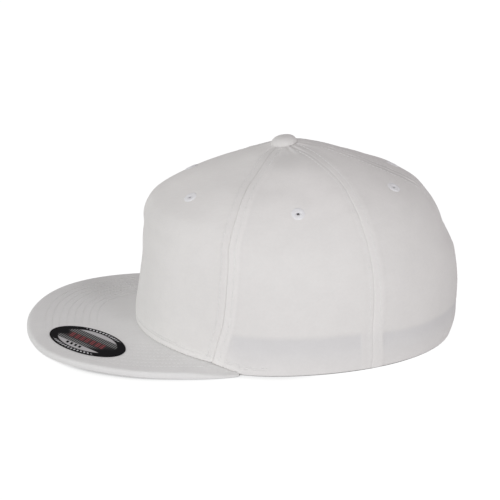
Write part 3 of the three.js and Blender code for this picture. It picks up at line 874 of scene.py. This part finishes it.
def visor_light_and_shade(x, y):
    """How much paler the visor's cloth is painted, in broad soft patches of painted light and shade: paler down its
    middle and on the near side, and darker with painted shade on the far side, most along the crown.
    """
    tone = 0.045 * bump_at(x, 8, 32) - 0.075 * bump_at(x, -60, 22) * bump_at(y, -130, 22)
    tone -= 0.055 * bump_at(y, 0.3 * x - 106.5, 13) * step(-x, -12, 2)
    tone += 0.025 * step(x, 55, 80) * bump_at(y, -75, 35)
    return tone + 0.035 * bump_at(x, 45, 22) * bump_at(y, -97, 14)


def visor():
    t = np.linspace(-1, 1, VISOR_COLUMNS + 1)
    thick = visor_thickness(np.abs(t))[None]
    grown = step(thick, 1, 3)
    x, y, depth, relief = visor_skin(t, EDGE_ROUND, EDGE_POWER, thick * EDGE_SHARE)
    top = stack(x, y, visor_lift(x, y) + thick - depth + relief * grown)
    x, y, depth, relief = visor_skin(t, UNDER_ROUND, EDGE_POWER, thick * (1 - EDGE_SHARE))
    under = stack(x, y, np.maximum(TABLE_GAP, visor_lift(x, y) + depth - relief * grown))
    points, faces = slab(top, under)
    tone = visor_light_and_shade(points[:, 0], points[:, 1])
    make("stitched_visor", points, faces, VISOR_CLOTH, ("visor",), points * (MM, MM, 0),
         stack(tone, tone * 0, tone * 0), sharp=CLOTH_SHARP)


visor()


def visor_rows(above):
    """The visor's stitch rows, each a curve at one distance from its edge, on one of its faces."""
    edge = np.concatenate([VISOR_EDGE[::-1] * (-1, 1), VISOR_EDGE[1:]])
    away = unit(np.gradient(edge, axis=0))
    inward = stack(-away[:, 1], away[:, 0])
    found = []
    for k in range(ROW_COUNT):
        e = ROW_FIRST + k * ROW_PITCH
        x, y = (edge + inward * e).T
        free = edge_distance(x, y) > e - 0.05
        oval = np.hypot(x / PANEL_FRONT["half_width"], (y - PANEL_FRONT["middle_y"]) / PANEL_FRONT["reach"])
        kept = free & (oval > 1) & (y < END_Y - 3)
        x, y = x[kept], y[kept]
        endward = np.clip((y - VISOR_TIP_Y) / (END_Y - VISOR_TIP_Y), 0, 1) * 0.8
        z = visor_lift(x, y) + (visor_thickness(endward) - 0.12 - 0.12 * step(x, 0, 50) if above else 0.12)
        found.append((stack(x, y, z), np.tile([0, 0, 1.0 if above else -1.0], (len(x), 1))))
    return found


sew("visor_stitching_top", visor_rows(True))
sew("visor_stitching_under", visor_rows(False))

# ---- sweatband
BAND_COLUMNS, BAND_ROWS = 360, 26
BAND_TURNS = np.radians([85, 60, 35, 12])            # round its edges
BAND_STITCHED = (BAND_BOTTOM + 3.2, BAND_TOP - 3)    # heights of its stitch rows


def sweatband():
    half_gap = 0.15 / half_length(0)
    share = np.linspace(-1 + half_gap, 1 - half_gap, BAND_COLUMNS + 1)
    r = BAND_THICKNESS / 2
    rounds = r - r * np.cos(BAND_TURNS)
    z = np.concatenate([BAND_BOTTOM + r - r * np.sin(BAND_TURNS), np.linspace(BAND_BOTTOM + r, BAND_TOP - r, BAND_ROWS),
                        BAND_TOP - r + r * np.sin(BAND_TURNS[::-1])])
    dip = np.concatenate([rounds, np.zeros(BAND_ROWS), rounds[::-1]])[:, None]
    wave = 0.25 * np.sin(share * 37) + 0.18 * np.sin(share * 71 + 1)
    heights = z[:, None] + wave * step(z, 15, BAND_TOP)[:, None]
    run = run_at(heights)
    start = WALL + BAND_GAP
    outer = crown(share, run, start + dip)
    stitched = 0.2 * bump_at(z, BAND_STITCHED[0], 0.6) + 0.12 * bump_at(z, BAND_STITCHED[1], 0.6)
    inner = crown(share, run, start + BAND_THICKNESS - dip - stitched[:, None])
    points, faces = slab(outer, inner)
    along = np.broadcast_to(share * half_length(0), heights.shape)
    weave = stack(along, heights, np.zeros_like(heights)).reshape(-1, 3) * MM
    make("woven_sweatband", points, faces, BAND_CLOTH, ("sweatband",), np.tile(weave, (2, 1)),
         sharp=CLOTH_SHARP)
    lines = []
    for height in BAND_STITCHED:
        along = np.linspace(-0.997, 0.997, 900)
        level = np.full_like(along, run_at(height))
        lines.append((crown(along, level, start + BAND_THICKNESS - 0.12), -crown_normal(along, level)))
    sew("sweatband_stitching", lines)


sweatband()

# ---- eyelets
SATIN = 42          # threads round an eyelet
SATIN_TURNS = SATIN * 4
# radius and height of the stitches over the cloth, from the hole outwards. Inside the cap they are 0.8 as high.
SATIN_RISE = np.array([(0.98, -0.35), (1.1, 0.0), (1.4, 0.18), (1.9, 0.26), (2.5, 0.29), (3.1, 0.25), (3.6, 0.14),
                       (4.0, -0.05), (4.2, -0.3)])


def satin(angle, radius, height):
    """The threads' ridges, and their uneven outer ends."""
    thread = np.abs(np.sin(angle * SATIN / 2 + 0.25 * (radius - 2.5)))
    uneven = 0.5 * np.sin(angle * 5 + 1) + 0.5 * np.sin(angle * 11)
    lift = 0.11 * (thread - 0.6) * np.where(height > -WALL / 2, 1, -1)
    return radius + step(radius, 3.3, 4.2) * (0.12 * thread + 0.08 * uneven), height + lift * step(radius, 1.0, 1.5)


def eyelet(name, centre, out):
    across = unit(np.cross(out, (0, 0, 1.0)))
    up = np.cross(across, out)
    under = SATIN_RISE[::-1] * (1, -0.8) - (0, WALL)
    profile = np.concatenate([SATIN_RISE, [(4.2, -WALL + 0.1)], under[1:], [(0.97, -WALL / 2)]])[::-1]
    points = revolve(profile, SATIN_TURNS, (centre, across, up, out), satin)
    make(f"satin_eyelet_{name}", points, ring_faces(SATIN_TURNS, len(profile)), SATIN_THREAD,
         (f"eyelet_{name}",), sharp=80)


for row in SITES:
    eyelet(*row)

# ---- button
BUTTON_TURNS = 144
BUTTON_LEAN = math.radians(3)        # more than the crown's top
BUTTON_OVAL = (0.9, 0.985)           # its width across the cap and along it, as a share of a round one
BUTTON_FOOT = [(0.02, -1.6), (5.0, -1.6), (7.4, -1.3), (8.3, -0.8), (8.45, -0.45)]
# the button's cloth is painted darker: painted shade
BUTTON_PAINTED_SHADE = -0.07


def gathers(angle, radius, height):
    """The pleats of the button's cloth, most at its foot, and its uneven top."""
    low = np.exp(-np.maximum(0, height + 0.3) / 0.9)
    pleat = 0.1 * np.cos(angle * 14 + 0.8 * np.sin(angle * 3)) + 0.05 * np.cos(angle * 23 + 1)
    uneven = 0.05 * np.cos(angle * 3 + 1) * np.sin(radius / BUTTON_RADIUS * 3)
    return radius * (1 + pleat * low * 0.13), height + uneven


def button():
    tilt = math.atan(TOP_TILT) + BUTTON_LEAN
    out = np.array([0, -math.sin(tilt), math.cos(tilt)])
    across = np.array([1.0, 0, 0])
    up = np.cross(out, across)
    centre = np.array([0, TOP_Y, TOP_Z])
    a = np.linspace(0, math.pi / 2, 22)
    dome = stack(BUTTON_RADIUS * np.cos(a) ** 0.82, -0.1 + (BUTTON_HEIGHT + 0.1) * np.sin(a))
    dome[-1, 0] = BUTTON_FOOT[0][0]
    profile = np.concatenate([BUTTON_FOOT, dome])
    points = revolve(profile, BUTTON_TURNS, (centre, across * BUTTON_OVAL[0], up * BUTTON_OVAL[1], out), gathers)
    weave = (points - centre) @ stack(across, up, out * 0) * MM
    make("covered_button", points, dome_faces(BUTTON_TURNS, len(profile)), CROWN_CLOTH, ("top_button",),
         weave, np.tile((BUTTON_PAINTED_SHADE, 0, 0), (len(points), 1)))


button()

# ---- sticker
STICKER_TURNS, STICKER_RINGS, UNDER_RINGS = 192, 40, 12
STICKER_TOP, STICKER_FOOT = 0.42, 0.08     # heights over the visor


def sticker():
    angle = np.arange(STICKER_TURNS) / STICKER_TURNS * 2 * math.pi
    r = np.concatenate([np.linspace(0.004, 0.99, STICKER_RINGS), [0.997, 1.0, 0.997, 0.99],
                        np.linspace(0.98, 0.004, UNDER_RINGS)])
    h = np.concatenate([np.full(STICKER_RINGS, STICKER_TOP), [0.38, 0.25, 0.12, STICKER_FOOT],
                        np.full(UNDER_RINGS, STICKER_FOOT)])
    p, q = np.cos(angle)[:, None] * r, np.sin(angle)[:, None] * r
    c, s = math.cos(STICKER["turn"]), math.sin(STICKER["turn"])
    a, b = p * STICKER["half_length"], q * STICKER["half_width"]
    x = STICKER["x"] + a * c - b * s
    y = STICKER["y"] + a * s + b * c
    points = stack(x, y, visor_lift(x, y) + VISOR_THICKNESS + h).reshape(-1, 3)
    faces = dome_faces(STICKER_TURNS, len(r), flipped=True)
    piece = make("printed_sticker", points, faces, FOIL, ("visor_sticker",), sharp=50)
    write_vectors(piece.data, "face", stack(p, q, np.zeros_like(p)))


sticker()

# ---- floor, camera and light
FLOOR_RADIUS = 12.0
FLOOR_DROP = 0.00005
FOOT_TURNS = 360
CROWN_SHADE, VISOR_SHADE = -0.8, -5.0     # how far outside each edge the ground under the cap reaches, in mm


def foot_outline():
    """Points round the cap's foot, as the farthest of the visor's and the crown's edge in each direction."""
    share = np.linspace(-1, 1, 1500)
    wall = crown(share, run_at(1.0))[:, :2]
    t = np.linspace(-1, 1, 900)
    visor_reach = VISOR_SHADE * (1 - 0.7 * step(np.abs(t), 0.7, 0.9))[:, None]
    middle = np.array([0, -40.0])
    edge = []
    for line, reach in ((wall, CROWN_SHADE), (edge_point(t), visor_reach)):
        away = np.linalg.norm(line - middle, axis=1, keepdims=True)
        edge.append(middle + (line - middle) * (1 + reach / away))
    edge = np.concatenate(edge)
    around = np.arctan2(edge[:, 1] - middle[1], edge[:, 0] - middle[0])
    far = np.linalg.norm(edge - middle, axis=1)
    slot = np.floor((around + math.pi) / (2 * math.pi) * FOOT_TURNS).astype(int) % FOOT_TURNS
    reach = np.zeros(FOOT_TURNS)
    np.maximum.at(reach, slot, far)
    angle = (np.arange(FOOT_TURNS) + 0.5) / FOOT_TURNS * 2 * math.pi - math.pi
    return middle + stack(reach * np.cos(angle), reach * np.sin(angle)), angle


def ground(name, points, faces, material):
    mesh = bpy.data.meshes.new(name)
    mesh.from_pydata(points, [], faces)
    mesh.materials.append(material)
    made = bpy.data.objects.new(name, mesh)
    made.location.z = -FLOOR_DROP
    bpy.context.scene.collection.objects.link(made)
    return made


def floor_paper():
    """White paper that glows evenly, with a painted shadow: the glow fades right under the cap's edge and, most under
    the visor, a little beside it.
    """
    sums = Sums("white_sweep")
    open_sky = sums.node("AmbientOcclusion", {"Distance": 0.009}, samples=8).outputs["AO"]
    _, backward, _ = sums.apart(sums.position())
    beside = sums.do("MULTIPLY", sums.ramp(backward, 0.06, 0.02), sums.ramp(backward, -0.125, -0.09))
    wide = sums.do("MULTIPLY", sums.do("SUBTRACT", 1.0, open_sky), beside)
    thin = sums.do("SUBTRACT", 1.0, sums.ramp(open_sky, 0.1, 0.4))
    shade = sums.scaled(wide, 0.4, sums.scaled(thin, 0.12))
    return sums.surface({
        "Base Color": (0.1, 0.1, 0.1, 1), "Roughness": 0.9, "Specular IOR Level": 0.0, "Emission Color": (1, 1, 1, 1),
        "Emission Strength": sums.do("SUBTRACT", 0.985, shade)})


# a dark sheet of painted shade under the cap, which glows faintly with painted light
def ground_shade():
    return Sums("shaded_paper").surface({
        "Base Color": (0.3, 0.3, 0.3, 1), "Roughness": 0.9, "Specular IOR Level": 0.0, "Emission Color": (1, 1, 1, 1),
        "Emission Strength": 0.1})


foot, angles = foot_outline()
foot = to_row(np.column_stack([foot, np.zeros(FOOT_TURNS)])).tolist()
rim = [(FLOOR_RADIUS * math.cos(a), FLOOR_RADIUS * math.sin(a), 0) for a in angles.tolist()]
after = [(i + 1) % FOOT_TURNS for i in range(FOOT_TURNS)]
ring = [(FOOT_TURNS + i, FOOT_TURNS + after[i], after[i], i) for i in range(FOOT_TURNS)]
floor = ground("floor", foot + rim, ring, floor_paper())
# the cap is lit by the lamps and the even surroundings, and not by the paper
floor.visible_diffuse = False
floor.visible_shadow = False
# the dark sheet of painted shade under the cap
ground("floor_under_cap", foot, [tuple(range(FOOT_TURNS))], ground_shade())

camera = bpy.data.objects.new("camera", bpy.data.cameras.new("camera"))
bpy.context.scene.collection.objects.link(camera)
bpy.context.scene.camera = camera
CAMERA_ELEVATION = math.radians(20.33)
CAMERA_DISTANCE = 2.4
SENSOR_WIDTH = 36
FOCAL_PIXELS, FRAME_PIXELS = 3781.8, 500
AIM = Vector((0, (-27.7 + SHIFT_Y) * MM, 0.0526))
back = Vector((math.cos(CAMERA_ELEVATION), 0, math.sin(CAMERA_ELEVATION)))
camera.location = AIM + back * CAMERA_DISTANCE
camera.rotation_mode = "QUATERNION"
camera.rotation_quaternion = (-back).to_track_quat("-Z", "Y")
camera.data.sensor_width = SENSOR_WIDTH
camera.data.lens = FOCAL_PIXELS / FRAME_PIXELS * SENSOR_WIDTH
camera.data.clip_start = 0.05
camera.data.clip_end = 60

# azimuth is from +X, the camera's side, towards +Y, the back of the cap; size and distance in metres
LIGHTS = [
    {"name": "front", "azimuth": -110, "elevation": 10, "energy": 12, "colour": (0.92, 1.0, 0.94)},
    {"name": "front_high", "azimuth": -110, "elevation": 58, "energy": 5.5, "colour": (1.0, 1.0, 1.0)},
    {"name": "side_front", "azimuth": -40, "elevation": 10, "energy": 17.5, "colour": (0.98, 1.0, 1.0)},
    {"name": "side", "azimuth": 15, "elevation": 10, "energy": 14, "colour": (0.97, 1.0, 1.0)},
    {"name": "side_back", "azimuth": 40, "elevation": 10, "energy": 13, "colour": (1.0, 1.0, 1.0)},
]
LIGHT_DISTANCE = 2.6
LIGHT_SIZE = 1.6
SURROUNDINGS = (0.41, 0.39, 0.397)     # even light from all round
for row in LIGHTS:
    data = bpy.data.lights.new(row["name"], "AREA")
    data.energy = row["energy"]
    data.color = row["colour"]
    data.size = LIGHT_SIZE
    lamp = bpy.data.objects.new(row["name"] + "_light", data)
    a, e = math.radians(row["azimuth"]), math.radians(row["elevation"])
    way = Vector((math.cos(a) * math.cos(e), math.sin(a) * math.cos(e), math.sin(e)))
    lamp.location = AIM + way * LIGHT_DISTANCE
    lamp.rotation_mode = "QUATERNION"
    lamp.rotation_quaternion = way.to_track_quat("Z", "Y")
    lamp.visible_camera = False
    bpy.context.scene.collection.objects.link(lamp)

world = bpy.data.worlds.new("world")
bpy.context.scene.world = world
world.use_nodes = True
background = world.node_tree.nodes["Background"].inputs
background["Color"].default_value = (*SURROUNDINGS, 1)
background["Strength"].default_value = 1.0
bpy.context.scene.view_settings.view_transform = "Standard"
